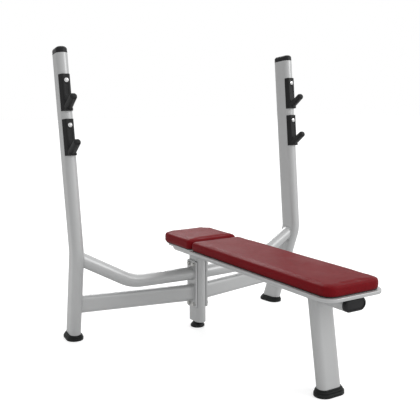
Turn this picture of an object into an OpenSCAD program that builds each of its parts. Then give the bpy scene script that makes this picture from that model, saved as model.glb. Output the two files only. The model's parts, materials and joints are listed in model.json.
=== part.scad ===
/* [Uprights] */
// Distance between the two upright bends, centre to centre
bend_span = 1174; // [1100:2:1240]
// Height of the bend above the floor
bend_z = 416; // [400:1:430]
// How far the bend sits behind the centre post
bend_back = 30; // [20:1:40]
// Length of the upper straight, bend to tube end
upper_length = 846; // [780:2:900]
// Backward lean of the upper straight, degrees
upper_lean = 6.7; // [5:0.1:8]
// Backward lean of the lower straight, degrees
lower_lean = 17.8; // [16:0.1:20]
// Turn of each upright about its own height, rear edge inward, degrees
toe_in = 6.5; // [4:0.1:8]
// Outward tilt of each upright, degrees
splay = 1.3; // [0:0.1:2]
// Centre-line radius of the upright bend
bend_radius = 110; // [100:5:150]

/* [Tubes] */
// Long side of the flat-oval frame tube
tube_long = 100; // [96:1:104]
// Short side of the flat-oval frame tube
tube_short = 50; // [48:1:52]
// Wall of the frame tube
tube_wall = 3; // [2:0.5:4]
// Diameter of the round upper braces
brace_d = 60; // [50:1:64]
// Height of the flat-oval lower braces
low_brace_long = 80; // [70:1:84]
// Thickness of the flat-oval lower braces
low_brace_short = 40; // [36:1:44]

/* [Bench] */
// Height of the bench's top surface
bench_z = 451; // [440:1:460]
// Width of both pads
pad_w = 260; // [250:2:280]
// Thickness of the cushion with its cover
cushion_h = 38; // [34:1:40]
// Thickness of the pad boards
board_h = 12; // [10:1:14]
// Front end of the long pad
main_front_y = -630; // [-640:1:-620]
// Rear end of the long pad
main_rear_y = 264; // [255:1:267]
// Front end of the head pad
head_front_y = 278; // [275:1:285]
// Rear end of the head pad
head_rear_y = 524; // [500:1:530]
// Height of the steel tray under the pads
tray_h = 13; // [12:1:15]
// How far the main tray stands out around the long pad
tray_ledge = 10; // [8:1:12]

/* [Post and leg] */
// Centre post, along the bench
post_y = 416; // [410:1:420]
// Gap between the floor and the post's lower end
post_bottom_z = 30; // [29:1:34]
// Front leg's centre at the floor
leg_foot_y = -506; // [-515:1:-495]
// Slant of the front leg, degrees
leg_slant = 10.3; // [8:0.1:12]

/* [Brackets] */
// Height of each bracket plate
plate_h = 225; // [220:1:232]
// Width of each bracket plate
plate_w = 76; // [74:1:80]
// Thickness of each bracket plate
plate_t = 8; // [6:1:10]
// Height of the bracket plates' centre
plate_z = 212; // [208:1:216]
// Bolt spacing along the bench
bolt_dy = 40; // [36:1:42]
// Bolt spacing up the plate
bolt_dz = 192; // [188:1:196]

/* [Catches] */
// Length of each catch along its upright
catch_l = 153; // [145:1:158]
// Width of each catch across its front face
catch_w = 34; // [32:1:38]
// Centre of the upper catch above the bend
catch_high = 681; // [675:1:690]
// Distance between the two catches
catch_pitch = 186; // [180:1:190]

/* [Hidden] */

steel = "silver";
plastic = "#1c1c1e";
leather = "#7d1f26";
zinc = "lightgray";
$fn = 48;

left = -1;
right = 1;
bend_x = bend_span / 2;
bend_y = post_y + bend_back;
bend_angle = upper_lean + lower_lean;
bend_tangent = bend_radius * tan(bend_angle / 2);
// Hairline between a bend and its straights, which are separate solids
seam = 0.02;
lower_length = bend_z / cos(lower_lean) + 60;

// The pad stack, from the bench surface down
pad_bottom_z = bench_z - cushion_h;
board_z = pad_bottom_z - 5;
board_inset = 5;
tray_top_z = board_z;
tray_z = tray_top_z - tray_h;
tray_sheet = 4;
tray_rim = 4;
pad_edge_r = 8;
pad_front_r = 40;
pad_rear_r = 48;
pad_gap_r = 18;
tray_gap = 6;
head_tray_inset = 14;

// The beam under the tray
beam_top_z = tray_z;
beam_mid_z = beam_top_z - tube_short / 2;
beam_bottom_z = beam_top_z - tube_short;
beam_front_y = -612;
beam_rear_y = 556;
cap_lip = 17;

// Brackets and braces
plate_in_x = tube_short / 2;
plate_out_x = plate_in_x + plate_t;
upper_brace_z = 262;
lower_brace_z = 170;
brace_bend_s = 303;
brace_bend_r = 180;
brace_rise = 29;
brace_slope_l = 310;
upper_yaw = 3.6;
lower_yaw = 11.2;
bolt_r = 5;
bolt_clear = 0.5;
washer_t = 2;
washer_r = 10.5;
hex_r = 9.8;
head_h = 7;
nut_h = 8;

// Feet
boot_grow = 13;
boot_base_h = 12;
boot_step_h = 7.5;
tube_cut_z = 8;
stem_r = 6;
stem_bore_r = 6.06;
stem_top_z = 80;
leveller_r = 33.5;
leveller_h = 27;

// Catches: arm ends are [forward of the tube, up from the catch's bottom]
catch_t = 6;
catch_wrap = 17;
catch_back_w = 52;
catch_corner_r = 4;
arm_t = 28;
arm_w = 34;
arm_root = [-2, 13];
arm_tip = [66, 50];
catch_bolt_up = 50;
catch_bolt_r = 4;
catch_washer_r = 9;
catch_head_r = 6.5;
insert_r = 7.4;
groove_w = 14;
groove_deep = 1.5;
foot_lip = [8, 10];

// A flat oval with its long side along X
module oval(long, short) {
  square([long - short, short], center = true);
  for (s = [left, right]) translate([s * (long - short) / 2, 0]) circle(d = short);
}

module oval_ring(long, short, wall) {
  difference() {
    oval(long, short);
    oval(long - 2 * wall, short - 2 * wall);
  }
}

// A rectangle centred on X with its own corner radius at each end
module end_rounded(w, y0, y1, r0, r1) {
  translate([-w / 2, y0 + r0]) square([w, y1 - y0 - r0 - r1]);
  translate([-w / 2 + r0, y0]) square([w - 2 * r0, r0 + 1]);
  translate([-w / 2 + r1, y1 - r1 - 1]) square([w - 2 * r1, r1 + 1]);
  for (s = [left, right]) {
    translate([s * (w / 2 - r0), y0 + r0]) circle(r0, $fn = 64);
    translate([s * (w / 2 - r1), y1 - r1]) circle(r1, $fn = 64);
  }
}

// The end outline of a cushion: flat below, with rounded upper edges
module soft_outline(w, h, e) {
  translate([-w / 2, 0]) square([w, h - e]);
  translate([-w / 2 + e, 0]) square([w - 2 * e, h]);
  for (s = [left, right]) translate([s * (w / 2 - e), h - e]) circle(e);
}

module soft_corner(r, h, e) {
  rotate_extrude($fn = 64) {
    square([r, h - e]);
    square([r - e, h]);
    translate([r - e, h - e]) circle(e);
  }
}

// A cushion with a rounded upper edge and its own corner radius at each end
module cushion(w, y0, y1, h, r0, r1, e) {
  translate([0, y1 - r1, 0]) rotate([90, 0, 0])
    linear_extrude(y1 - y0 - r0 - r1) soft_outline(w, h, e);
  for (end = [[y0 + r0, r0], [y1 - r1, r1]]) {
    translate([-w / 2 + end[1], end[0], 0]) rotate([90, 0, 90])
      linear_extrude(w - 2 * end[1]) soft_outline(2 * end[1], h, e);
    for (s = [left, right])
      translate([s * (w / 2 - end[1]), end[0], 0]) soft_corner(end[1], h, e);
  }
}

// Everything at the sides is drawn on the right and mirrored
module on_side(side) {
  mirror([side < 0 ? 1 : 0, 0, 0]) children();
}

// The frame of one upright: origin at its bend
module at_bend() {
  translate([bend_x, bend_y, bend_z]) rotate([0, splay, 0]) rotate([0, 0, toe_in]) children();
}

// The frame of the upper straight: +Z up along it, +Y to its rear
module on_upper() {
  at_bend() rotate([-upper_lean, 0, 0]) children();
}

module upright_path() {
  middle = (lower_lean - upper_lean) / 2;
  reach = bend_radius / cos(bend_angle / 2);
  start = 270 + middle - bend_angle / 2;
  at_bend() {
    rotate([-upper_lean, 0, 0]) translate([0, 0, bend_tangent + seam])
      linear_extrude(upper_length - bend_tangent - seam) rotate(90) children();
    rotate([lower_lean, 0, 0]) translate([0, 0, -lower_length])
      linear_extrude(lower_length - bend_tangent - seam) rotate(90) children();
    translate([0, reach * cos(middle), reach * sin(middle)]) rotate([0, 90, 0])
      rotate([0, 0, start]) rotate_extrude(angle = bend_angle, $fn = 96)
        translate([bend_radius, 0]) children();
  }
}

// A block under a given height, to trim what stands on the floor
module floor_block(z) {
  translate([-900, -900, z - 200]) cube([1800, 1800, 200]);
}

module upright(side) {
  color(steel) on_side(side) difference() {
    upright_path() oval_ring(tube_long, tube_short, tube_wall);
    floor_block(tube_cut_z);
    for (level = [0, 1]) on_catch(level) translate([0, 10, catch_bolt_up]) rotate([90, 0, 0])
      cylinder(r = insert_r + 0.1, h = 20);
  }
}

module upright_cap(side) {
  dome = 14;
  skirt = 20;
  plug = tube_wall + 0.5;
  color(plastic) on_side(side) on_upper() translate([0, 0, upper_length]) {
    translate([0, 0, -24]) linear_extrude(24)
      rotate(90) oval(tube_long - 2 * plug, tube_short - 2 * plug);
    linear_extrude(skirt - dome / 2) rotate(90) oval(tube_long, tube_short);
    for (k = [0:3]) {
      rise = skirt - dome / 2 + k * dome / 4;
      shrink = dome * (1 - cos(18 + 20 * k));
      translate([0, 0, rise]) linear_extrude(dome / 4)
        rotate(90) oval(tube_long - shrink, tube_short - shrink);
    }
  }
}

// A stepped rubber boot that follows a slanted tube: slope is its shift per height
module boot_steps(slope) {
  heights = [0, boot_base_h, boot_base_h + boot_step_h];
  grow = [boot_grow, boot_grow - 4, boot_grow - 8];
  for (k = [0:2]) {
    h = k == 0 ? boot_base_h : boot_step_h;
    translate([0, -slope * (heights[k] + h / 2), heights[k]])
      linear_extrude(h) rotate(90) oval(tube_long + 2 * grow[k], tube_short + 2 * grow[k]);
  }
}

module upright_boot(side) {
  foot_in = (bend_z / cos(lower_lean)) * sin(lower_lean) * sin(toe_in) + bend_z * sin(splay);
  foot_back = bend_z * tan(lower_lean) * cos(toe_in);
  color(plastic) on_side(side) difference() {
    translate([bend_x - foot_in, bend_y + foot_back, 0]) rotate(toe_in) boot_steps(tan(lower_lean));
    difference() {
      upright_path() oval(tube_long, tube_short);
      floor_block(tube_cut_z);
    }
  }
}

module upper_brace_path() {
  tangent = brace_bend_r * tan(brace_rise / 2);
  reach = brace_bend_r / cos(brace_rise / 2);
  translate([plate_out_x, post_y, upper_brace_z]) rotate(upper_yaw) translate([brace_bend_s, 0, 0]) {
    rotate([0, -90, 0]) translate([0, 0, tangent + seam])
      linear_extrude(brace_bend_s - tangent + 8) children();
    rotate([0, 90 - brace_rise, 0]) translate([0, 0, tangent + seam])
      linear_extrude(brace_slope_l - tangent) children();
    rotate([0, -brace_rise / 2, 0]) translate([0, 0, reach]) rotate([90, 0, 0])
      rotate(-90 - brace_rise / 2) rotate_extrude(angle = brace_rise, $fn = 96)
        translate([brace_bend_r, 0]) children();
  }
}

module ring(d, wall) {
  difference() {
    circle(d = d);
    circle(d = d - 2 * wall);
  }
}

// Cuts a side piece off at the bracket plate and at the upright's flat inner side
module fit_between() {
  difference() {
    children();
    translate([plate_out_x - 100, post_y - 100, 0]) cube([100, 200, 500]);
    at_bend() translate([-tube_short / 2, -250, -450]) cube([150, 500, 600]);
  }
}

module upper_brace(side) {
  color(steel) on_side(side) fit_between() upper_brace_path()
    ring(brace_d, tube_wall);
}

module lower_brace(side) {
  color(steel) on_side(side) fit_between()
    translate([plate_out_x, post_y, lower_brace_z]) rotate(lower_yaw) translate([-8, 0, 0])
      rotate([0, 90, 0]) linear_extrude(600)
        oval_ring(low_brace_long, low_brace_short, tube_wall);
}

// The four bracket bolt axes
module at_bracket_bolts() {
  for (sy = [left, right], sz = [left, right])
    translate([0, post_y + sy * bolt_dy / 2, plate_z + sz * bolt_dz / 2]) rotate([0, 90, 0]) children();
}

module bracket_plate(side) {
  corner_r = 8;
  color(steel) on_side(side) difference() {
    translate([plate_in_x, post_y, plate_z]) rotate([90, 0, 90]) linear_extrude(plate_t)
      end_rounded(plate_w, -plate_h / 2, plate_h / 2, corner_r, corner_r);
    at_bracket_bolts() cylinder(r = bolt_r + bolt_clear, h = 200, center = true);
  }
}

// Both bolt ends carry a washer: the head is on the left and the nut on the right
module bracket_bolts() {
  reach = plate_out_x + washer_t;
  color(zinc) at_bracket_bolts() {
    translate([0, 0, -reach]) cylinder(r = bolt_r, h = 2 * reach + nut_h + 3);
    translate([0, 0, -reach - head_h]) cylinder(r = hex_r, h = head_h, $fn = 6);
  }
}

module bracket_washers() {
  color(zinc) at_bracket_bolts() for (z = [-plate_out_x - washer_t, plate_out_x])
    translate([0, 0, z]) difference() {
      cylinder(r = washer_r, h = washer_t);
      cylinder(r = bolt_r, h = 3 * washer_t, center = true);
    }
}

module bracket_nuts() {
  color(zinc) at_bracket_bolts() translate([0, 0, plate_out_x + washer_t]) difference() {
    cylinder(r = hex_r, h = nut_h, $fn = 6);
    cylinder(r = bolt_r, h = 3 * nut_h, center = true);
  }
}

module main_beam() {
  color(steel) translate([0, beam_rear_y, beam_mid_z]) rotate([90, 0, 0])
    linear_extrude(beam_rear_y - beam_front_y) oval_ring(tube_long, tube_short, tube_wall);
}

module beam_front_cap() {
  plug = tube_wall + 0.5;
  edge = 5;
  color(plastic) translate([0, beam_front_y, beam_mid_z]) rotate([90, 0, 0]) {
    translate([0, 0, -22]) linear_extrude(22) oval(tube_long - 2 * plug, tube_short - 2 * plug);
    linear_extrude(cap_lip - edge) oval(tube_long, tube_short);
    for (k = [0, 1]) translate([0, 0, cap_lip - edge + k * edge / 2])
      linear_extrude(edge / 2) oval(tube_long - 2 - 4 * k, tube_short - 2 - 4 * k);
  }
}

module beam_rear_plate() {
  color(steel) translate([0, beam_rear_y + tube_wall, beam_mid_z]) rotate([90, 0, 0])
    linear_extrude(tube_wall) oval(tube_long, tube_short);
}

// The saddle under the beam that the leg is cut to: flat, with the beam's round sides in facets
module beam_saddle() {
  step = 15;
  round_r = tube_short / 2 / cos(step / 2);
  flat = (tube_long - tube_short) / 2;
  side = [for (a = [step / 2:step:70]) [flat + round_r * sin(a), -round_r * cos(a)]];
  other = [for (k = [len(side) - 1:-1:0]) [-side[k][0], side[k][1]]];
  translate([0, leg_foot_y + 300, beam_mid_z]) rotate([90, 0, 0]) linear_extrude(400)
    polygon(concat(side, [[90, side[len(side) - 1][1]], [90, 90], [-90, 90],
      [-90, side[len(side) - 1][1]]], other));
}

module leg_path() {
  translate([0, leg_foot_y, 0]) rotate([-leg_slant, 0, 0]) translate([0, 0, -20])
    linear_extrude(beam_mid_z / cos(leg_slant) + 80) children();
}

module front_leg() {
  color(steel) difference() {
    leg_path() oval_ring(tube_long, tube_short, tube_wall);
    floor_block(tube_cut_z);
    beam_saddle();
  }
}

module front_boot() {
  color(plastic) difference() {
    translate([0, leg_foot_y, 0]) for (k = [0:2]) {
      z = k == 0 ? 0 : boot_base_h + (k - 1) * boot_step_h;
      h = k == 0 ? boot_base_h : boot_step_h;
      grow = boot_grow - 4 * k;
      translate([0, tan(leg_slant) * (z + h / 2), z])
        linear_extrude(h) oval(tube_long + 2 * grow, tube_short + 2 * grow);
    }
    difference() {
      leg_path() oval(tube_long, tube_short);
      floor_block(tube_cut_z);
    }
  }
}

module centre_post() {
  color(steel) difference() {
    translate([0, post_y, post_bottom_z]) linear_extrude(beam_bottom_z - post_bottom_z)
      rotate(90) oval_ring(tube_long, tube_short, tube_wall);
    at_bracket_bolts() cylinder(r = bolt_r + bolt_clear, h = 200, center = true);
  }
}

module post_base_plate() {
  color(steel) translate([0, post_y, post_bottom_z]) difference() {
    linear_extrude(6) rotate(90) oval(tube_long - 2 * tube_wall, tube_short - 2 * tube_wall);
    cylinder(r = stem_bore_r, h = 40, center = true);
  }
}

module post_weld_nut() {
  color(zinc) translate([0, post_y, post_bottom_z + 6]) difference() {
    cylinder(r = 11, h = 10, $fn = 6);
    cylinder(r = stem_bore_r, h = 40, center = true);
  }
}

module leveller_pad() {
  color(plastic) translate([0, post_y, 0]) difference() {
    union() {
      cylinder(r = leveller_r - 1, h = 2);
      translate([0, 0, 2]) cylinder(r = leveller_r, h = 8);
      translate([0, 0, 10]) cylinder(r1 = leveller_r - 1, r2 = 24, h = leveller_h - 16);
      translate([0, 0, leveller_h - 6]) cylinder(r = 20, h = 6);
    }
    translate([0, 0, 6]) cylinder(r = stem_r, h = leveller_h);
  }
}

module leveller_stem() {
  color(zinc) translate([0, post_y, 6]) cylinder(r = stem_r, h = stem_top_z - 6);
}

// The catch frame: the catch faces straight ahead, with its origin on the
// tube's round front: +X across, +Y to the rear, +Z up along the upright
module on_catch(level) {
  nose = (tube_long - tube_short) / 2;
  on_upper() translate([0, -nose, catch_high - level * catch_pitch])
    rotate([0, 0, -toe_in]) translate([0, -tube_short / 2, 0]) children();
}

module catch_arm() {
  dy = arm_tip[0] - arm_root[0];
  dz = arm_tip[1] - arm_root[1];
  reach = norm([dy, dz]);
  tilt = atan2(dy, dz);
  translate([0, -arm_root[0], arm_root[1] - catch_l / 2]) rotate([tilt, 0, 0]) {
    linear_extrude(reach) oval(arm_w, arm_t);
    for (s = [left, right]) translate([s * (arm_w - arm_t) / 2, 0, reach]) sphere(d = arm_t);
    translate([0, 0, reach]) rotate([0, 90, 0]) cylinder(d = arm_t, h = arm_w - arm_t, center = true);
  }
}

// The catch's outline seen from above: it widens to the rear and wraps the tube
module catch_outline() {
  front = catch_w / 2;
  polygon([[-catch_back_w / 2, catch_wrap], [-front, catch_corner_r / 2 - catch_t],
    [catch_corner_r / 2 - front, -catch_t], [front - catch_corner_r / 2, -catch_t],
    [front, catch_corner_r / 2 - catch_t], [catch_back_w / 2, catch_wrap]]);
}

module catch(side, level) {
  bottom = -catch_l / 2;
  color(plastic) on_side(side) difference() {
    on_catch(level) difference() {
      union() {
        translate([0, 0, bottom]) linear_extrude(catch_l) catch_outline();
        catch_arm();
        translate([-catch_w / 2, -catch_t - foot_lip[0], bottom])
          cube([catch_w, foot_lip[0] + catch_t, foot_lip[1]]);
      }
      translate([-groove_w / 2, -catch_t - 1, -10])
        cube([groove_w, groove_deep + 1, catch_bolt_up - 2]);
      translate([0, 0, catch_bolt_up]) rotate([90, 0, 0])
        cylinder(r = catch_bolt_r + bolt_clear, h = 60, center = true);
      translate([-50, -50, bottom - 50]) cube([100, 90, 50]);
    }
    upright_path() oval(tube_long, tube_short);
  }
}

module at_catch_bolts() {
  for (side = [left, right], level = [0, 1])
    on_side(side) on_catch(level) translate([0, 0, catch_bolt_up]) rotate([90, 0, 0]) children();
}

module catch_bolts() {
  shank = 22;
  head_h = 4.5;
  socket_h = 2.5;
  color(zinc) at_catch_bolts() difference() {
    union() {
      translate([0, 0, -shank]) cylinder(r = catch_bolt_r, h = shank + catch_t + washer_t);
      translate([0, 0, catch_t + washer_t]) cylinder(r1 = catch_head_r, r2 = catch_head_r - 2, h = head_h);
    }
    translate([0, 0, catch_t + washer_t + head_h - socket_h]) cylinder(r = 2.6, h = head_h, $fn = 6);
  }
}

module catch_washers() {
  color(zinc) at_catch_bolts() translate([0, 0, catch_t]) difference() {
    cylinder(r = catch_washer_r, h = washer_t);
    cylinder(r = catch_bolt_r, h = 3 * washer_t, center = true);
  }
}

module catch_inserts() {
  color(zinc) at_catch_bolts() translate([0, 0, -22]) difference() {
    cylinder(r = insert_r, h = 21);
    cylinder(r = catch_bolt_r, h = 60, center = true);
  }
}

// A steel tray: a top sheet with a rim turned down all round
module tray(w, y0, y1, r0, r1) {
  difference() {
    linear_extrude(tray_h) end_rounded(w, y0, y1, r0, r1);
    translate([0, 0, -1]) linear_extrude(tray_h - tray_sheet + 1)
      end_rounded(w - 2 * tray_rim, y0 + tray_rim, y1 - tray_rim, r0 - tray_rim, r1 - tray_rim);
  }
}

// Screw places under each pad, in pairs on both sides of the beam
main_screw_ys = [main_front_y + 120, (main_front_y + main_rear_y) / 2, main_rear_y - 110];
head_screw_ys = [head_front_y + 60, head_rear_y - 64];
screw_x = 80;
screw_r = 4;

module at_pad_screws() {
  for (y = concat(main_screw_ys, head_screw_ys), s = [left, right])
    translate([s * screw_x, y, tray_top_z - tray_sheet]) children();
}

module main_tray() {
  color(steel) difference() {
    translate([0, 0, tray_z]) tray(pad_w + 2 * tray_ledge, main_front_y - tray_ledge,
      main_rear_y + tray_gap, pad_front_r + tray_ledge, pad_gap_r + tray_gap);
    at_pad_screws() cylinder(r = screw_r + bolt_clear, h = 30, center = true);
  }
}

module head_tray() {
  color(steel) difference() {
    translate([0, 0, tray_z]) tray(pad_w - 2 * head_tray_inset, head_front_y + 6,
      head_rear_y - head_tray_inset, pad_gap_r, pad_rear_r - head_tray_inset);
    at_pad_screws() cylinder(r = screw_r + bolt_clear, h = 30, center = true);
  }
}

// Flat bars that carry the tray on the beam
module tray_bars(ys, w) {
  bar_w = 50;
  for (y = ys) translate([-w / 2, y - bar_w / 2, beam_top_z]) cube([w, bar_w, tray_h - tray_sheet]);
}

module main_tray_bars() {
  color(steel) tray_bars([for (k = [-1.5:1:1.5]) (main_front_y + main_rear_y) / 2 + k * 215], 120);
}

module head_tray_bars() {
  color(steel) tray_bars([head_front_y + 110], 120);
}

module pad_board(y0, y1, r0, r1, ys) {
  difference() {
    translate([0, 0, board_z]) linear_extrude(board_h)
      end_rounded(pad_w - 2 * board_inset, y0 + board_inset, y1 - board_inset,
        r0 - board_inset, r1 - board_inset);
    for (y = ys, s = [left, right]) translate([s * screw_x, y, board_z - 1]) cylinder(r = screw_r, h = 10);
  }
}

module main_pad_board() {
  color(plastic) pad_board(main_front_y, main_rear_y, pad_front_r, pad_gap_r, main_screw_ys);
}

module head_pad_board() {
  color(plastic) pad_board(head_front_y, head_rear_y, pad_gap_r, pad_rear_r, head_screw_ys);
}

// The covered cushion, with a pocket for its board
module pad(y0, y1, r0, r1) {
  difference() {
    translate([0, 0, pad_bottom_z]) cushion(pad_w, y0, y1, cushion_h, r0, r1, pad_edge_r);
    translate([0, 0, board_z]) linear_extrude(board_h)
      end_rounded(pad_w - 2 * board_inset, y0 + board_inset, y1 - board_inset,
        r0 - board_inset, r1 - board_inset);
  }
}

module main_pad() {
  color(leather) pad(main_front_y, main_rear_y, pad_front_r, pad_gap_r);
}

module head_pad() {
  color(leather) pad(head_front_y, head_rear_y, pad_gap_r, pad_rear_r);
}

module pad_screws() {
  color(zinc) at_pad_screws() {
    translate([0, 0, -washer_t]) cylinder(r = screw_r, h = 9 + washer_t + tray_sheet);
    translate([0, 0, -washer_t - 5]) cylinder(r = 7.5, h = 5, $fn = 6);
  }
}

module pad_screw_washers() {
  color(zinc) at_pad_screws() translate([0, 0, -washer_t]) difference() {
    cylinder(r = 9, h = washer_t);
    cylinder(r = screw_r, h = 3 * washer_t, center = true);
  }
}

main_beam();
beam_front_cap();
beam_rear_plate();
front_leg();
front_boot();
centre_post();
post_base_plate();
post_weld_nut();
leveller_pad();
leveller_stem();
bracket_plate(left);  // left_bracket_plate
bracket_plate(right);  // right_bracket_plate
bracket_bolts();
bracket_washers();
bracket_nuts();
upright(left);  // left_upright
upright(right);  // right_upright
upper_brace(left);  // left_upper_brace
upper_brace(right);  // right_upper_brace
lower_brace(left);  // left_lower_brace
lower_brace(right);  // right_lower_brace
upright_cap(left);  // left_upright_cap
upright_cap(right);  // right_upright_cap
upright_boot(left);  // left_upright_boot
upright_boot(right);  // right_upright_boot
catch(left, 0);  // left_upper_catch
catch(left, 1);  // left_lower_catch
catch(right, 0);  // right_upper_catch
catch(right, 1);  // right_lower_catch
catch_bolts();
catch_washers();
catch_inserts();
main_tray();
head_tray();
main_tray_bars();
head_tray_bars();
main_pad_board();
head_pad_board();
main_pad();
head_pad();
pad_screws();
pad_screw_washers();
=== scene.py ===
"""Looks of the olympic bench press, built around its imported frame. Metres throughout."""

import json
import math

import bmesh
import bpy
from mathutils import Euler, Matrix, Vector


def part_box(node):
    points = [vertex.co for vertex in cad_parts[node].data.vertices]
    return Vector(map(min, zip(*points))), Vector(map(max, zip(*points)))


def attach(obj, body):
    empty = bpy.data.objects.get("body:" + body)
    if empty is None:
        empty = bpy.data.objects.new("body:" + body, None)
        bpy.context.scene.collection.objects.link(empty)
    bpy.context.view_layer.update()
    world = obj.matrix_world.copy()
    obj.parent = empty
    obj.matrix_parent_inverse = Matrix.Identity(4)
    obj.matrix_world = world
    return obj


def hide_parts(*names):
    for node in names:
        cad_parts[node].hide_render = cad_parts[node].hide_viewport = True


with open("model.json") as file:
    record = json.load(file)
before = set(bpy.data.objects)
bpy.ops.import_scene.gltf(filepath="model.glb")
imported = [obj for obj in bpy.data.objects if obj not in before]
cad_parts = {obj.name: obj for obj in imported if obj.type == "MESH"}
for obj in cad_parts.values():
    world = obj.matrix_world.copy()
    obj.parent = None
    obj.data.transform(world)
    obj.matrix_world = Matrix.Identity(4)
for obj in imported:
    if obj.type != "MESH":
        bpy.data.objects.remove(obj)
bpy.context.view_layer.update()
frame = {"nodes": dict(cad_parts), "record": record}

# ---------------------------------------------------------------- sizes shared with the frame

TUBE_LONG = 0.100
TUBE_SHORT = 0.050
BRACE_D = 0.060
LOW_BRACE_LONG = 0.080
LOW_BRACE_SHORT = 0.040
WELD = 0.0026
# How near a corner lies to a plane to count as on it
NEAR = 1e-4

# One upright: its bend, and the turns that take its own frame to the part's
BEND = Vector((0.587, 0.446, 0.416))
TOE_IN = math.radians(6.5)
SPLAY = math.radians(1.3)
UPPER_LEAN = math.radians(6.7)
LOWER_LEAN = math.radians(17.8)
UPPER_LENGTH = 0.846
LEG_FOOT_Y = -0.506
LEG_SLANT = math.radians(10.3)

# From the tube's middle to the middle of its round front
NOSE = (TUBE_LONG - TUBE_SHORT) / 2

# The upper catch's middle above the bend, and the step down to the lower catch
CATCH_HIGH = 0.681
CATCH_PITCH = 0.186
CATCH_L = 0.153
CATCH_W = 0.034
CATCH_BACK_W = 0.052
CATCH_WRAP = 0.017
CATCH_T = 0.006
CATCH_BOLT_UP = 0.050
CATCH_WASHER_R = 0.009
CATCH_WASHER_T = 0.002
CATCH_HEAD_R = 0.0065
CATCH_HEAD_T = 0.0045
ARM_W = 0.034
ARM_T = 0.028
# The arm's ends: y from the tube's front, z from the catch's lower end
ARM_ROOT = Vector((0, 0.002, 0.013))
ARM_TIP = Vector((0, -0.066, 0.050))

post_low, post_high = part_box("centre_post")
POST_Y = (post_low[1] + post_high[1]) / 2
plate_low, plate_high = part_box("right_bracket_plate")
PLATE_OUT_X = plate_high[0]
PLATE_Z = (plate_low[2] + plate_high[2]) / 2
BOLT_DY = 0.040
BOLT_DZ = 0.192
HEX_ACROSS = 0.017
HEAD_T = 0.007
NUT_T = 0.008
SHANK_R = 0.005
SHANK_OUT = 0.011
WASHER_R = 0.0105
WASHER_T = 0.002

LEFT, RIGHT = -1, 1
SIDES = {"left": LEFT, "right": RIGHT}
LEVELS = {"upper": 0, "lower": 1}


def upright_matrix(side, lean, along, out=0.0):
    """The frame of an upright's straight: +Z up along it, +Y to its rear, moved along and out of it."""
    turn = (Matrix.Translation(BEND) @ Matrix.Rotation(SPLAY, 4, "Y") @ Matrix.Rotation(TOE_IN, 4, "Z")
            @ Matrix.Rotation(lean, 4, "X") @ Matrix.Translation((0, out, along)))
    return Matrix.Diagonal((side, 1, 1, 1)) @ turn


# ---------------------------------------------------------------- modelling helpers

def select_none():
    bpy.ops.object.select_all(action="DESELECT")


def make_active(obj):
    select_none()
    obj.select_set(True)
    bpy.context.view_layer.objects.active = obj


def edit(obj, mode="VERT"):
    make_active(obj)
    bpy.ops.object.mode_set(mode="EDIT")
    bpy.ops.mesh.select_mode(type=mode)
    bpy.ops.mesh.select_all(action="DESELECT")
    return bmesh.from_edit_mesh(obj.data)


def pick(obj, mode, test):
    """Selects, in edit mode, the elements of that mode for which test(element) is true."""
    mesh = edit(obj, mode)
    items = {"VERT": mesh.verts, "EDGE": mesh.edges, "FACE": mesh.faces}[mode]
    for item in items:
        item.select_set(bool(test(item)))
    bmesh.update_edit_mesh(obj.data)


def leave_edit():
    bpy.ops.object.mode_set(mode="OBJECT")


def bevel_edges(obj, test, width, segments):
    pick(obj, "EDGE", test)
    bpy.ops.mesh.bevel(offset=width, segments=segments, profile=0.5, affect="EDGES")
    leave_edit()


def place(obj, matrix):
    """Moves a finished mesh to its place, leaving its object at the origin with its faces outwards."""
    make_active(obj)
    obj.data.transform(obj.matrix_world)
    obj.matrix_world = Matrix.Identity(4)
    obj.data.transform(matrix)
    if matrix.determinant() < 0:
        obj.data.flip_normals()


def finish_mesh(obj, angle=35):
    make_active(obj)
    bpy.ops.object.shade_smooth_by_angle(angle=math.radians(angle))


def named(name):
    obj = bpy.context.object
    obj.name = name
    obj.data.name = name
    return obj


def copy_of(obj, name):
    twin = obj.copy()
    twin.data = obj.data.copy()
    twin.name = name
    twin.data.name = name
    bpy.context.collection.objects.link(twin)
    return twin


def join(objs, name):
    select_none()
    for obj in objs:
        obj.select_set(True)
    bpy.context.view_layer.objects.active = objs[0]
    bpy.ops.object.join()
    return named(name)


def oval_block(name, long, short, height, vertices=64):
    """A flat-oval block standing on z = 0, long side along X."""
    select_none()
    bpy.ops.mesh.primitive_cylinder_add(vertices=vertices, radius=short / 2, depth=height,
                                        location=(0, 0, height / 2), rotation=(0, 0, math.pi / vertices))
    obj = named(name)
    bpy.ops.object.transform_apply(location=True, rotation=True, scale=True)
    for side in (LEFT, RIGHT):
        pick(obj, "VERT", lambda v: v.co.x * side > 0)
        bpy.ops.transform.translate(value=(side * (long - short) / 2, 0, 0))
        leave_edit()
    return obj


def oval_weld(name, long, short, matrix):
    """A rippled weld bead round a flat-oval joint, in the plane z = 0 of matrix, long side along X."""
    ripples = 120
    select_none()
    bpy.ops.mesh.primitive_torus_add(major_radius=short / 2, minor_radius=WELD,
                                     major_segments=ripples, minor_segments=8)
    obj = named(name)
    for v in obj.data.vertices:
        turn = math.atan2(v.co.y, v.co.x)
        ring = Vector((math.cos(turn), math.sin(turn), 0)) * short / 2
        swell = 1 + 0.16 * math.cos(turn * ripples / 3)
        v.co = ring + (v.co - ring) * swell
        v.co.x += math.copysign((long - short) / 2, v.co.x)
    place(obj, matrix)
    finish_mesh(obj, 60)
    return obj


# ---------------------------------------------------------------- materials

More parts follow.
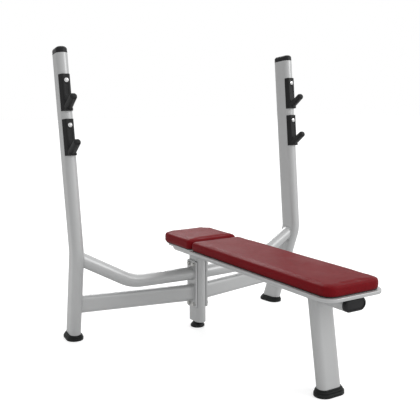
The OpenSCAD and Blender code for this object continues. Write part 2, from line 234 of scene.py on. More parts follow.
def group_tree(name, inputs, outputs):
    """An empty shader group with its sockets: inputs are (label, type, value), outputs (label, type)."""
    tree = bpy.data.node_groups.new(name, "ShaderNodeTree")
    for label, kind, value in inputs:
        socket = tree.interface.new_socket(label, in_out="INPUT", socket_type=kind)
        socket.default_value = value
    for label, kind in outputs:
        tree.interface.new_socket(label, in_out="OUTPUT", socket_type=kind)
    return tree, tree.nodes.new("NodeGroupInput"), tree.nodes.new("NodeGroupOutput")


def make_mottle():
    """Two colours mixed in soft clouds."""
    tree, take, give = group_tree(
        "mottle",
        [("Color", "NodeSocketColor", (0.5, 0.5, 0.5, 1)), ("Tint", "NodeSocketColor", (0.4, 0.4, 0.4, 1)),
         ("Scale", "NodeSocketFloat", 6.0), ("Amount", "NodeSocketFloat", 0.5)],
        [("Color", "NodeSocketColor")])
    nodes, links = tree.nodes, tree.links
    where = nodes.new("ShaderNodeTexCoord")
    clouds = nodes.new("ShaderNodeTexNoise")
    clouds.inputs["Detail"].default_value = 6
    amount = nodes.new("ShaderNodeMath")
    amount.operation = "MULTIPLY"
    mix = nodes.new("ShaderNodeMix")
    mix.data_type = "RGBA"
    links.new(where.outputs["Object"], clouds.inputs["Vector"])
    links.new(take.outputs["Scale"], clouds.inputs["Scale"])
    links.new(clouds.outputs["Fac"], amount.inputs[0])
    links.new(take.outputs["Amount"], amount.inputs[1])
    links.new(amount.outputs[0], mix.inputs["Factor"])
    links.new(take.outputs["Color"], mix.inputs["A"])
    links.new(take.outputs["Tint"], mix.inputs["B"])
    links.new(mix.outputs["Result"], give.inputs["Color"])
    return tree


def make_speckle():
    """A fine even grain: the height of orange peel, moulded texture or rubber."""
    tree, take, give = group_tree(
        "speckle", [("Scale", "NodeSocketFloat", 900.0), ("Roughness", "NodeSocketFloat", 0.5)],
        [("Height", "NodeSocketFloat")])
    nodes, links = tree.nodes, tree.links
    where = nodes.new("ShaderNodeTexCoord")
    grain = nodes.new("ShaderNodeTexNoise")
    grain.inputs["Detail"].default_value = 3
    links.new(where.outputs["Object"], grain.inputs["Vector"])
    links.new(take.outputs["Scale"], grain.inputs["Scale"])
    links.new(take.outputs["Roughness"], grain.inputs["Roughness"])
    links.new(grain.outputs["Fac"], give.inputs["Height"])
    return tree


def make_hide():
    """The pebbled grain of a vinyl or leather cover, with soft creases between the pebbles, and a mask of
    the creases for painted shade.
    """
    tree, take, give = group_tree(
        "hide", [("Scale", "NodeSocketFloat", 420.0), ("Creases", "NodeSocketFloat", 0.35)],
        [("Height", "NodeSocketFloat"), ("Crease Shade", "NodeSocketFloat")])
    nodes, links = tree.nodes, tree.links
    where = nodes.new("ShaderNodeTexCoord")
    warp = nodes.new("ShaderNodeTexNoise")
    warp.inputs["Scale"].default_value = 60
    push = nodes.new("ShaderNodeVectorMath")
    push.operation = "MULTIPLY_ADD"
    push.inputs[1].default_value = (0.004, 0.004, 0.004)
    pebbles = nodes.new("ShaderNodeTexVoronoi")
    pebbles.feature = "SMOOTH_F1"
    pebbles.inputs["Smoothness"].default_value = 0.4
    lines = nodes.new("ShaderNodeTexVoronoi")
    lines.feature = "DISTANCE_TO_EDGE"
    valley = nodes.new("ShaderNodeMapRange")
    valley.inputs["From Max"].default_value = 0.18
    dip = nodes.new("ShaderNodeMath")
    dip.operation = "MULTIPLY"
    total = nodes.new("ShaderNodeMath")
    total.operation = "SUBTRACT"
    links.new(where.outputs["Object"], warp.inputs["Vector"])
    links.new(warp.outputs["Color"], push.inputs[0])
    links.new(where.outputs["Object"], push.inputs[2])
    for cells in (pebbles, lines):
        links.new(push.outputs[0], cells.inputs["Vector"])
        links.new(take.outputs["Scale"], cells.inputs["Scale"])
    links.new(lines.outputs["Distance"], valley.inputs["Value"])
    links.new(valley.outputs["Result"], dip.inputs[0])
    links.new(take.outputs["Creases"], dip.inputs[1])
    links.new(dip.outputs[0], total.inputs[0])
    links.new(pebbles.outputs["Distance"], total.inputs[1])
    links.new(total.outputs[0], give.inputs["Height"])
    # The crease mask, used only to paint shade into the creases
    links.new(valley.outputs["Result"], give.inputs["Crease Shade"])
    return tree


def make_handling():
    """Roughness that varies in broad smears, as from hands and cloths."""
    tree, take, give = group_tree(
        "handling", [("Low", "NodeSocketFloat", 0.3), ("High", "NodeSocketFloat", 0.45),
                     ("Scale", "NodeSocketFloat", 9.0)],
        [("Roughness", "NodeSocketFloat")])
    nodes, links = tree.nodes, tree.links
    where = nodes.new("ShaderNodeTexCoord")
    smear = nodes.new("ShaderNodeTexNoise")
    smear.inputs["Detail"].default_value = 5
    smear.inputs["Distortion"].default_value = 0.6
    span = nodes.new("ShaderNodeMapRange")
    span.inputs["From Min"].default_value = 0.3
    span.inputs["From Max"].default_value = 0.7
    links.new(where.outputs["Object"], smear.inputs["Vector"])
    links.new(take.outputs["Scale"], smear.inputs["Scale"])
    links.new(smear.outputs["Fac"], span.inputs["Value"])
    links.new(take.outputs["Low"], span.inputs["To Min"])
    links.new(take.outputs["High"], span.inputs["To Max"])
    links.new(span.outputs["Result"], give.inputs["Roughness"])
    return tree


MOTTLE, SPECKLE, HIDE, HANDLING = make_mottle(), make_speckle(), make_hide(), make_handling()


def use_group(mat, tree, **values):
    node = mat.node_tree.nodes.new("ShaderNodeGroup")
    node.node_tree = tree
    for label, value in values.items():
        node.inputs[label].default_value = value
    return node


def start_material(name, color, tint, amount, rough, metallic=0.0, mottle_scale=6.0, smear_scale=9.0):
    """A Principled material with clouded colour and smeared roughness."""
    mat = bpy.data.materials.new(name)
    mat.use_nodes = True
    links = mat.node_tree.links
    shader = mat.node_tree.nodes["Principled BSDF"]
    shader.inputs["Metallic"].default_value = metallic
    clouds = use_group(mat, MOTTLE, Color=(*color, 1), Tint=(*tint, 1), Scale=mottle_scale, Amount=amount)
    smears = use_group(mat, HANDLING, Low=rough[0], High=rough[1], Scale=smear_scale)
    links.new(clouds.outputs["Color"], shader.inputs["Base Color"])
    links.new(smears.outputs["Roughness"], shader.inputs["Roughness"])
    return mat, shader, clouds


def add_bump(mat, shader, source, strength, distance):
    bump = mat.node_tree.nodes.new("ShaderNodeBump")
    bump.inputs["Strength"].default_value = strength
    bump.inputs["Distance"].default_value = distance
    mat.node_tree.links.new(source, bump.inputs["Height"])
    mat.node_tree.links.new(bump.outputs["Normal"], shader.inputs["Normal"])


def silver_paint():
    """Satin silver powder coat with a faint orange peel."""
    mat, shader, _ = start_material("silver_paint", (0.51, 0.515, 0.515), (0.45, 0.455, 0.458), 0.5,
                                    (0.34, 0.42), metallic=0.4)
    shader.inputs["Coat Weight"].default_value = 0.15
    shader.inputs["Coat Roughness"].default_value = 0.2
    peel = use_group(mat, SPECKLE, Scale=700.0, Roughness=0.4)
    add_bump(mat, shader, peel.outputs["Height"], 0.12, 0.0004)
    return mat


def red_cover():
    """Grained upholstery cover, with painted shade darkening its creases."""
    mat, shader, clouds = start_material("red_cover", (0.235, 0.006, 0.010), (0.17, 0.004, 0.007), 0.6,
                                         (0.36, 0.46), mottle_scale=5.0, smear_scale=7.0)
    shader.inputs["Specular IOR Level"].default_value = 0.06
    hide = use_group(mat, HIDE, Scale=430.0, Creases=0.35)
    # Painted shade: the creases are mixed towards a near-black red, standing in for the shade that falls
    # into them
    crease_shade = mat.node_tree.nodes.new("ShaderNodeMix")
    crease_shade.data_type = "RGBA"
    crease_shade.inputs["A"].default_value = (0.09, 0.004, 0.007, 1)
    links = mat.node_tree.links
    links.new(hide.outputs["Crease Shade"], crease_shade.inputs["Factor"])
    links.new(clouds.outputs["Color"], crease_shade.inputs["B"])
    links.new(crease_shade.outputs["Result"], shader.inputs["Base Color"])
    add_bump(mat, shader, hide.outputs["Height"], 0.25, 0.0006)
    return mat


def moulded(name, color, rough, scale, strength):
    """Black plastic or rubber with a moulded grain."""
    tint = tuple(c * 1.8 for c in color)
    mat, shader, _ = start_material(name, color, tint, 0.6, rough, mottle_scale=30.0, smear_scale=20.0)
    shader.inputs["Specular IOR Level"].default_value = 0.3
    grain = use_group(mat, SPECKLE, Scale=scale, Roughness=0.6)
    add_bump(mat, shader, grain.outputs["Height"], strength, 0.0004)
    return mat


def plated(name, color, rough):
    """Plated steel with a fine crystalline grain."""
    tint = tuple(c * 0.75 for c in color)
    mat, shader, _ = start_material(name, color, tint, 0.5, rough, metallic=1.0, mottle_scale=90.0,
                                    smear_scale=60.0)
    grain = use_group(mat, SPECKLE, Scale=1500.0, Roughness=0.5)
    add_bump(mat, shader, grain.outputs["Height"], 0.08, 0.0002)
    return mat


def board_backing():
    """The black cloth stapled under the pad boards."""
    mat, shader, _ = start_material("board_backing", (0.014, 0.013, 0.013), (0.03, 0.028, 0.026), 0.6,
                                    (0.75, 0.9), mottle_scale=40.0)
    weave = use_group(mat, SPECKLE, Scale=1200.0, Roughness=0.7)
    add_bump(mat, shader, weave.outputs["Height"], 0.5, 0.0005)
    return mat


FINISH = {
    "frame_paint": silver_paint(),
    "pad_cover": red_cover(),
    "cap_plastic": moulded("cap_plastic", (0.007, 0.007, 0.008), (0.38, 0.5), 900.0, 0.2),
    "catch_plastic": moulded("catch_plastic", (0.007, 0.007, 0.0075), (0.36, 0.5), 800.0, 0.25),
    "boot_rubber": moulded("boot_rubber", (0.006, 0.007, 0.007), (0.45, 0.62), 600.0, 0.4),
    "leveller_plastic": moulded("leveller_plastic", (0.006, 0.006, 0.007), (0.35, 0.5), 700.0, 0.25),
    "zinc_steel": plated("zinc_steel", (0.60, 0.60, 0.58), (0.24, 0.38)),
    "bright_steel": plated("bright_steel", (0.86, 0.86, 0.86), (0.10, 0.2)),
    "board_wood": board_backing(),
}


def give_finish(obj, slot):
    obj.data.materials.clear()
    obj.data.materials.append(FINISH[slot])


def add_piece(obj, slot, body="frame", stands_for=()):
    give_finish(obj, slot)
    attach(obj, body)
    if stands_for:
        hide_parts(*stands_for)
    return obj


def paint_frame():
    """Every CAD node takes the finish of its own slot."""
    for part in frame["record"]["subparts"]:
        give_finish(frame["nodes"][part["node"]], part["material_slot"])


# ---------------------------------------------------------------- camera, floor and light

CAMERA_AZIMUTH = math.radians(-32.64)
CAMERA_ELEVATION = math.radians(9.17)
CAMERA_AIM = Vector((0.029, 0.351, 0.566))
CAMERA_DISTANCE = 3.2
LENS = 59.67
SENSOR = 36.0

FLOOR_SIZE = 60
FLOOR_GREY = 0.72
FLOOR_GLOW = 0.5
# The studio's light comes mostly from this way, and falls off to WORLD_DIM behind it
WORLD_FROM = (0.62, -0.30, 0.72)
WORLD_SPREAD = 0.9
WORLD_DIM = 0.34
WORLD_BRIGHT = 1.10
# Each lamp's place, width and power
LAMP_AIM = Vector((0, 0, 0.5))
LAMPS = {"key": ((2.6, -2.8, 2.8), 2.2, 38), "back": ((1.2, 3.2, 2.6), 1.6, 35)}


def set_camera():
    """A camera that looks at CAMERA_AIM from its azimuth, elevation and distance."""
    data = bpy.data.cameras.new("camera")
    data.lens = LENS
    data.sensor_width = SENSOR
    camera = bpy.data.objects.new("camera", data)
    bpy.context.collection.objects.link(camera)
    turn = Euler((math.pi / 2 - CAMERA_ELEVATION, 0, CAMERA_AZIMUTH)).to_matrix()
    camera.location = CAMERA_AIM + turn @ Vector((0, 0, CAMERA_DISTANCE))
    camera.rotation_euler = turn.to_euler()
    bpy.context.scene.camera = camera


def area_light(name, spot, size, power):
    """A round soft lamp at spot, turned towards LAMP_AIM."""
    data = bpy.data.lights.new(name, "AREA")
    data.shape = "DISK"
    data.size = size
    data.energy = power
    lamp = bpy.data.objects.new(name, data)
    lamp.location = spot
    lamp.rotation_euler = (LAMP_AIM - Vector(spot)).to_track_quat("-Z", "Y").to_euler()
    bpy.context.collection.objects.link(lamp)


def studio_world():
    """White behind the object, and a soft light that is dimmer from the left and from below."""
    world = bpy.data.worlds.new("studio")
    world.use_nodes = True
    nodes, links = world.node_tree.nodes, world.node_tree.links
    where = nodes.new("ShaderNodeTexCoord")
    lean = nodes.new("ShaderNodeVectorMath")
    lean.operation = "DOT_PRODUCT"
    lean.inputs[1].default_value = WORLD_FROM
    level = nodes.new("ShaderNodeMapRange")
    level.inputs["From Min"].default_value = -WORLD_SPREAD
    level.inputs["From Max"].default_value = WORLD_SPREAD
    level.inputs["To Min"].default_value = WORLD_DIM
    level.inputs["To Max"].default_value = WORLD_BRIGHT
    seen = nodes.new("ShaderNodeLightPath")
    pick_level = nodes.new("ShaderNodeMix")
    pick_level.inputs["B"].default_value = 1.0
    back = nodes["Background"]
    back.inputs["Color"].default_value = (1, 1, 1, 1)
    links.new(where.outputs["Generated"], lean.inputs[0])
    links.new(lean.outputs["Value"], level.inputs["Value"])
    links.new(seen.outputs["Is Camera Ray"], pick_level.inputs["Factor"])
    links.new(level.outputs["Result"], pick_level.inputs["A"])
    links.new(pick_level.outputs["Result"], back.inputs["Strength"])
    bpy.context.scene.world = world


def set_stage():
    """A pale floor that runs off into white, the studio's light and two soft lamps."""
    select_none()
    bpy.ops.mesh.primitive_plane_add(size=FLOOR_SIZE)
    floor = named("floor")
    mat = bpy.data.materials.new("pale_floor")
    mat.use_nodes = True
    shader = mat.node_tree.nodes["Principled BSDF"]
    shader.inputs["Base Color"].default_value = (FLOOR_GREY, FLOOR_GREY, FLOOR_GREY, 1)
    shader.inputs["Roughness"].default_value = 0.9
    shader.inputs["Specular IOR Level"].default_value = 0.0
    shader.inputs["Emission Color"].default_value = (1, 1, 1, 1)
    seen = mat.node_tree.nodes.new("ShaderNodeLightPath")
    glow = mat.node_tree.nodes.new("ShaderNodeMath")
    glow.operation = "MULTIPLY"
    glow.inputs[1].default_value = FLOOR_GLOW
    mat.node_tree.links.new(seen.outputs["Is Camera Ray"], glow.inputs[0])
    mat.node_tree.links.new(glow.outputs[0], shader.inputs["Emission Strength"])
    floor.data.materials.append(mat)
    studio_world()
    bpy.context.scene.view_settings.view_transform = "Standard"
    for name, (spot, size, power) in LAMPS.items():
        area_light(name, spot, size, power)


# ---------------------------------------------------------------- cushions

VOXEL = 0.005
CLOTH_PRESSURE = 4
CLOTH_FRAMES = 20
# The most a cover swells on its crown and at its rim, above a band where it is held
SWELL_CAP = 0.0065
SWELL_RIM = 0.0025
HELD_BAND = 0.020
EDGE_R = 0.012
CORNER_STEPS = 14
# How far the cover stands in from the cushion's sides and comes down over its board
COVER_INSET = 0.0010
COVER_DROP = 0.003


def cushion_block(name, low, high, front_r, rear_r):
    """The cushion before it is filled: a slab with round corners and a softened rim."""
    size = [h - l for l, h in zip(low, high)]
    middle = [(h + l) / 2 for l, h in zip(low, high)]
    select_none()
    bpy.ops.mesh.primitive_cube_add(size=1, location=middle, scale=size)
    obj = named(name)
    bpy.ops.object.transform_apply(location=True, rotation=True, scale=True)

    def upright_edge(edge, y):
        a, b = edge.verts
        return abs(a.co.z - b.co.z) > size[2] / 2 and abs(a.co.y - y) < NEAR

    def rim_edge(edge, z):
        if len(edge.link_faces) != 2 or any(abs(v.co.z - z) > NEAR for v in edge.verts):
            return False
        return abs(edge.link_faces[0].normal.z - edge.link_faces[1].normal.z) > 0.5

    bevel_edges(obj, lambda e: upright_edge(e, low[1]), front_r, CORNER_STEPS)
    bevel_edges(obj, lambda e: upright_edge(e, high[1]), rear_r, CORNER_STEPS)
    bevel_edges(obj, lambda e: rim_edge(e, high[2]), EDGE_R, 5)
    bevel_edges(obj, lambda e: rim_edge(e, low[2]), EDGE_R / 3, 2)
    return obj


def swell_limit(co, low, high):
    """How far a point of the cover may swell: most on the crown, nothing along the stapled edge."""
    across = (2 * co.x - low[0] - high[0]) / (high[0] - low[0])
    along = (2 * co.y - low[1] - high[1]) / (high[1] - low[1])
    crown = max(1 - across ** 2, 0) * max(1 - along ** 6, 0)
    free = min(max((co.z - low[2]) / HELD_BAND, 0), 1)
    return (SWELL_RIM + (SWELL_CAP - SWELL_RIM) * crown) * free


def fill_cushion(obj, low, high):
    """Inflates the cover by cloth simulation, held along its stapled lower edge."""
    make_active(obj)
    remesh = obj.modifiers.new("remesh", "REMESH")
    remesh.mode = "VOXEL"
    remesh.voxel_size = VOXEL
    bpy.ops.object.modifier_apply(modifier=remesh.name)
    start = [v.co.copy() for v in obj.data.vertices]
    outward = [v.normal.copy() for v in obj.data.vertices]
    held = obj.vertex_groups.new(name="held")
    held.add([v.index for v in obj.data.vertices if v.co.z < low[2] + VOXEL], 1.0, "REPLACE")
    cloth = obj.modifiers.new("cloth", "CLOTH")
    cloth.settings.use_pressure = True
    cloth.settings.uniform_pressure_force = CLOTH_PRESSURE
    cloth.settings.vertex_group_mass = "held"
    cloth.settings.effector_weights.gravity = 0
    for step in range(1, CLOTH_FRAMES + 1):
        bpy.context.scene.frame_set(step)
    shape = obj.evaluated_get(bpy.context.evaluated_depsgraph_get()).to_mesh()
    moved = [v.co.copy() for v in shape.vertices]
    obj.modifiers.remove(cloth)
    for v, was, now, way in zip(obj.data.vertices, start, moved, outward):
        v.co = was + way * min(max((now - was).dot(way), 0), swell_limit(was, low, high))
    bpy.context.scene.frame_set(1)
    smooth = obj.modifiers.new("smooth", "SMOOTH")
    smooth.factor = 0.5
    smooth.iterations = 4
    bpy.ops.object.modifier_apply(modifier=smooth.name)
    finer = obj.modifiers.new("finer", "SUBSURF")
    finer.levels = 1
    finer.render_levels = 1
    bpy.ops.object.modifier_apply(modifier=finer.name)
    bpy.ops.object.shade_smooth()


def make_cushion(name, node, front_r, rear_r, rise, rear_grow):
    """A cover filled over a CAD cushion's place; rise and rear_grow let it stand proud of the solid."""
    low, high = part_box(node)
    low = (low[0] + COVER_INSET, low[1] + COVER_INSET, low[2] - COVER_DROP)
    high = (high[0] - COVER_INSET, high[1] - COVER_INSET + rear_grow, high[2] - SWELL_CAP + rise)
    obj = cushion_block(name, low, high, front_r, rear_r)
    fill_cushion(obj, low, high)
    add_piece(obj, "pad_cover", stands_for=[node])


# ---------------------------------------------------------------- trays

TRAY_SHEET = 0.004


def make_tray(name, node, front_r, rear_r):
    """A pressed tray: rolled upper edge and a rim turned down all round."""
    low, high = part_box(node)
    size = [h - l for l, h in zip(low, high)]
    middle = [(h + l) / 2 for l, h in zip(low, high)]
    select_none()
    bpy.ops.mesh.primitive_cube_add(size=1, location=middle, scale=size)
    obj = named(name)
    bpy.ops.object.transform_apply(location=True, rotation=True, scale=True)
    for y, radius in ((low[1], front_r), (high[1], rear_r)):
        bevel_edges(obj, lambda e: abs(e.verts[0].co.z - e.verts[1].co.z) > size[2] / 2
                    and abs(e.verts[0].co.y - y) < NEAR, radius, CORNER_STEPS)
    pick(obj, "FACE", lambda f: f.normal.z < -0.9)
    bpy.ops.mesh.inset(thickness=TRAY_SHEET)
    bpy.ops.transform.translate(value=(0, 0, size[2] - TRAY_SHEET))
    leave_edit()
    bevel_edges(obj, lambda e: all(v.co.z > high[2] - NEAR for v in e.verts), 0.0025, 4)
    bevel_edges(obj, lambda e: all(v.co.z < low[2] + NEAR for v in e.verts), 0.0012, 2)
    finish_mesh(obj)
    add_piece(obj, "frame_paint", stands_for=[node])


# ---------------------------------------------------------------- caps and feet

def rounded_oval(name, long, short, height, top_r, bottom_r=0.0, segments=5):
    """A flat-oval block with its top edge rounded, and its bottom edge too if asked."""
    obj = oval_block(name, long, short, height)
    bevel_edges(obj, lambda e: all(v.co.z > height - NEAR for v in e.verts), top_r, segments)
    if bottom_r:
        bevel_edges(obj, lambda e: all(v.co.z < NEAR for v in e.verts), bottom_r, 3)
    return obj


def make_upright_cap(side_name):
    """A domed cap with a thin lip that meets the tube's end."""
    side = SIDES[side_name]
    lip_h, dome_h, step = 0.006, 0.027, 0.001
    lip = rounded_oval(f"{side_name}_cap_lip", TUBE_LONG, TUBE_SHORT, lip_h, 0.0015, 0.001, 3)
    dome = rounded_oval(f"{side_name}_cap_dome", TUBE_LONG - step, TUBE_SHORT - step, dome_h, 0.013,
                        segments=8)
    cap = join([dome, lip], f"{side_name}_upright_end_cap")
    quarter = Matrix.Rotation(math.pi / 2, 4, "Z")
    place(cap, upright_matrix(side, -UPPER_LEAN, UPPER_LENGTH) @ quarter)
    finish_mesh(cap)
    add_piece(cap, "cap_plastic", stands_for=[f"{side_name}_upright_cap"])


def make_beam_cap():
    """The beam's end cap, with a shallow panel sunk into its face."""
    low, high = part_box("beam_front_cap")
    beam_low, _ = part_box("main_beam")
    depth = beam_low[1] - low[1]
    cap = rounded_oval("beam_end_cap", TUBE_LONG, TUBE_SHORT, depth, 0.006, 0.001, 6)
    pick(cap, "FACE", lambda f: f.normal.z > 0.9)
    bpy.ops.mesh.inset(thickness=0.006)
    bpy.ops.mesh.extrude_region_move(TRANSFORM_OT_translate={"value": (0, 0, -0.001)})
    leave_edit()
    forward = Matrix.Rotation(math.pi / 2, 4, "X")
    place(cap, Matrix.Translation((0, beam_low[1], (low[2] + high[2]) / 2)) @ forward)
    finish_mesh(cap)
    add_piece(cap, "cap_plastic", stands_for=["beam_front_cap"])


BOOT_GROW = 0.013
BOOT_SHRINK = 0.004
BOOT_BASE = 0.012
BOOT_STEP = 0.0075
BOOT_STEPS = 3
BOOT_OVERLAP = 0.002


def boot(name, slope):
    """A stepped rubber boot, long side along X, its steps following the tube's slant along -Y."""
    steps = []
    height = 0.0
    for k in range(BOOT_STEPS):
        rise = BOOT_BASE if k == 0 else BOOT_STEP
        grow = 2 * (BOOT_GROW - BOOT_SHRINK * k)
        tall = rise + (BOOT_OVERLAP if k < BOOT_STEPS - 1 else 0)
        step = rounded_oval(f"{name}_{k}", TUBE_LONG + grow, TUBE_SHORT + grow, tall,
                            0.0028, 0.001 if k == 0 else 0.0, 4)
        place(step, Matrix.Translation((0, -slope * (height + rise / 2), height)))
        steps.append(step)
        height += rise
    return join(steps, name)


def middle_of(obj, axis):
    """The middle of a mesh's extent along one axis."""
    reach = [v.co[axis] for v in obj.data.vertices]
    return (min(reach) + max(reach)) / 2


def make_boots():
    """Each boot stands where its node does; the uprights' two are sheared along their lean."""
    for side_name, side in SIDES.items():
        low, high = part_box(f"{side_name}_upright_boot")
        piece = boot(f"{side_name}_rubber_boot", 0.0)
        quarter = Matrix.Rotation(math.pi / 2 + side * TOE_IN, 4, "Z")
        place(piece, quarter)
        for v in piece.data.vertices:
            v.co.y -= math.tan(LOWER_LEAN) * max(v.co.z - BOOT_BASE / 2, 0)
        shift = Vector(((low[0] + high[0]) / 2 - middle_of(piece, 0),
                        (low[1] + high[1]) / 2 - middle_of(piece, 1), 0))
        place(piece, Matrix.Translation(shift))
        finish_mesh(piece)
        add_piece(piece, "boot_rubber", stands_for=[f"{side_name}_upright_boot"])
    low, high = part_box("front_boot")
    piece = boot("front_rubber_boot", -math.tan(LEG_SLANT))
    place(piece, Matrix.Translation((0, (low[1] + high[1]) / 2 - middle_of(piece, 1), 0)))
    finish_mesh(piece)
    add_piece(piece, "boot_rubber", stands_for=["front_boot"])


def make_leveller():
    """The levelling foot's pad, turned from its half outline."""
    low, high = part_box("leveller_pad")
    radius = (high[0] - low[0]) / 2
    top = high[2]
    edge = 0.002
    outline = [(0.0, 0.0), (radius - edge, 0.0), (radius, edge), (radius, 0.009),
               (radius - edge, 0.0115), (0.026, 0.018), (0.022, 0.022),
               (0.020, 0.0255), (0.0185, top), (0.0, top)]
    mesh = bpy.data.meshes.new("levelling_pad")
    mesh.from_pydata([(x, 0, z) for x, z in outline], [(i, i + 1) for i in range(len(outline) - 1)], [])
    obj = bpy.data.objects.new("levelling_pad", mesh)
    bpy.context.collection.objects.link(obj)
    pick(obj, "EDGE", lambda e: True)
    bpy.ops.mesh.spin(steps=64, angle=2 * math.pi, center=(0, 0, 0), axis=(0, 0, 1))
    bpy.ops.mesh.select_all(action="SELECT")
    bpy.ops.mesh.remove_doubles(threshold=0.00005)
    bpy.ops.mesh.normals_make_consistent(inside=False)
    leave_edit()
    place(obj, Matrix.Translation((0, POST_Y, 0)))
    finish_mesh(obj, 40)
    add_piece(obj, "leveller_plastic", body="leveller", stands_for=["leveller_pad"])


# ---------------------------------------------------------------- catches

def catch_matrix(side, level):
    """A catch's frame: it faces straight ahead, with its origin on the tube's round front."""
    along = CATCH_HIGH - level * CATCH_PITCH
    return (upright_matrix(side, -UPPER_LEAN, along, -NOSE) @ Matrix.Rotation(-TOE_IN, 4, "Z")
            @ Matrix.Translation((0, -TUBE_SHORT / 2, 0)))


def catch_plate():
    """The plate that wraps the tube: narrow in front, wider behind, all its edges rounded."""
    depth = CATCH_T + CATCH_WRAP
    select_none()
    bpy.ops.mesh.primitive_cube_add(size=1, location=(0, CATCH_WRAP - depth / 2, 0),
                                    scale=(CATCH_W, depth, CATCH_L))
    plate = named("catch_plate")
    bpy.ops.object.transform_apply(location=True, rotation=True, scale=True)
    pick(plate, "VERT", lambda v: v.co.y > 0)
    bpy.ops.transform.resize(value=(CATCH_BACK_W / CATCH_W, 1, 1), center_override=(0, 0, 0))
    leave_edit()
    bevel_edges(plate, lambda e: abs(e.verts[0].co.z - e.verts[1].co.z) > CATCH_L / 2
                and e.verts[0].co.y < 0, 0.0045, 5)
    bevel_edges(plate, lambda e: all(v.co.z > CATCH_L / 2 - NEAR for v in e.verts)
                and len(e.link_faces) == 2 and min(f.normal.z for f in e.link_faces) < 0.5
                and e.calc_length() > 0.0004, 0.002, 3)
    return plate


ARM_FLARE = 1.06
ARM_TAPER_W = 0.14
ARM_TAPER_T = 0.04


def catch_arm():
    """The arm that rises ahead of the plate, tapered to a round tip."""
    reach = (ARM_TIP - ARM_ROOT).length
    arm = rounded_oval("catch_arm", ARM_W, ARM_T, reach + ARM_T / 2, 0.0125, segments=8)
    for v in arm.data.vertices:
        along = min(max(v.co.z / reach, 0), 1)
        v.co.x *= ARM_FLARE - ARM_TAPER_W * along
        v.co.y *= ARM_FLARE - ARM_TAPER_T * along
    tilt = math.atan2(ARM_ROOT.y - ARM_TIP.y, ARM_TIP.z - ARM_ROOT.z)
    place(arm, Matrix.Translation(ARM_ROOT - Vector((0, 0, CATCH_L / 2))) @ Matrix.Rotation(tilt, 4, "X"))
    return arm


def catch_foot():
    """The short lip under the arm's root."""
    reach, height = 0.008, 0.010
    select_none()
    bpy.ops.mesh.primitive_cube_add(size=1, location=(0, -CATCH_T - reach / 2, (height - CATCH_L) / 2),
                                    scale=(CATCH_W, reach, height))
    lip = named("catch_lip")
    bpy.ops.object.transform_apply(location=True, rotation=True, scale=True)
    bevel_edges(lip, lambda e: all(v.co.y < -CATCH_T - reach + NEAR for v in e.verts), 0.002, 3)
    return lip


def catch_piece():
    """One catch in its own frame: +Y into the upright, its middle at the origin."""
    groove_half, groove_low, groove_high, groove_deep = 0.007, -0.010, 0.036, 0.0014
    body = join([catch_plate(), catch_arm(), catch_foot()], "catch_body")
    trim = body.modifiers.new("union", "REMESH")
    trim.mode = "VOXEL"
    trim.voxel_size = 0.0011
    make_active(body)
    bpy.ops.object.modifier_apply(modifier=trim.name)
    edit(body)
    bpy.ops.mesh.select_all(action="SELECT")
    bpy.ops.mesh.bisect(plane_co=(0, 0, -CATCH_L / 2), plane_no=(0, 0, -1), clear_outer=True, use_fill=True)
    leave_edit()
    round_r = TUBE_SHORT / 2
    for v in body.data.vertices:
        in_groove = abs(v.co.x) < groove_half and groove_low < v.co.z < groove_high
        if in_groove and v.co.y < -CATCH_T + 0.002:
            v.co.y += groove_deep
        if v.co.y > 0 and abs(v.co.x) < round_r - 0.0005:
            bow = round_r - math.sqrt(round_r ** 2 - v.co.x ** 2)
            v.co.y = min(v.co.y, bow + 0.0002)
    smooth = body.modifiers.new("smooth", "SMOOTH")
    smooth.factor = 0.5
    smooth.iterations = 3
    bpy.ops.object.modifier_apply(modifier=smooth.name)
    bpy.ops.object.shade_smooth()
    return body


def hex_bolt(name, across, height):
    """A hexagon head or nut on z = 0 with rounded corners and a softened crown."""
    select_none()
    bpy.ops.mesh.primitive_cylinder_add(vertices=6, radius=across / math.sqrt(3), depth=height,
                                        location=(0, 0, height / 2))
    obj = named(name)
    bpy.ops.object.transform_apply(location=True, rotation=True, scale=True)
    bevel_edges(obj, lambda e: abs(e.verts[0].co.z - e.verts[1].co.z) > height / 2, 0.0006, 2)
    bevel_edges(obj, lambda e: all(v.co.z > height - NEAR for v in e.verts), 0.0013, 3)
    return obj


def disc(name, radius, height, edge, vertices=40):
    """A round head or washer on z = 0 with its top edge rounded."""
    select_none()
    bpy.ops.mesh.primitive_cylinder_add(vertices=vertices, radius=radius, depth=height,
                                        location=(0, 0, height / 2))
    obj = named(name)
    bpy.ops.object.transform_apply(location=True, rotation=True, scale=True)
    bevel_edges(obj, lambda e: all(v.co.z > height - NEAR for v in e.verts), edge, 4)
    return obj


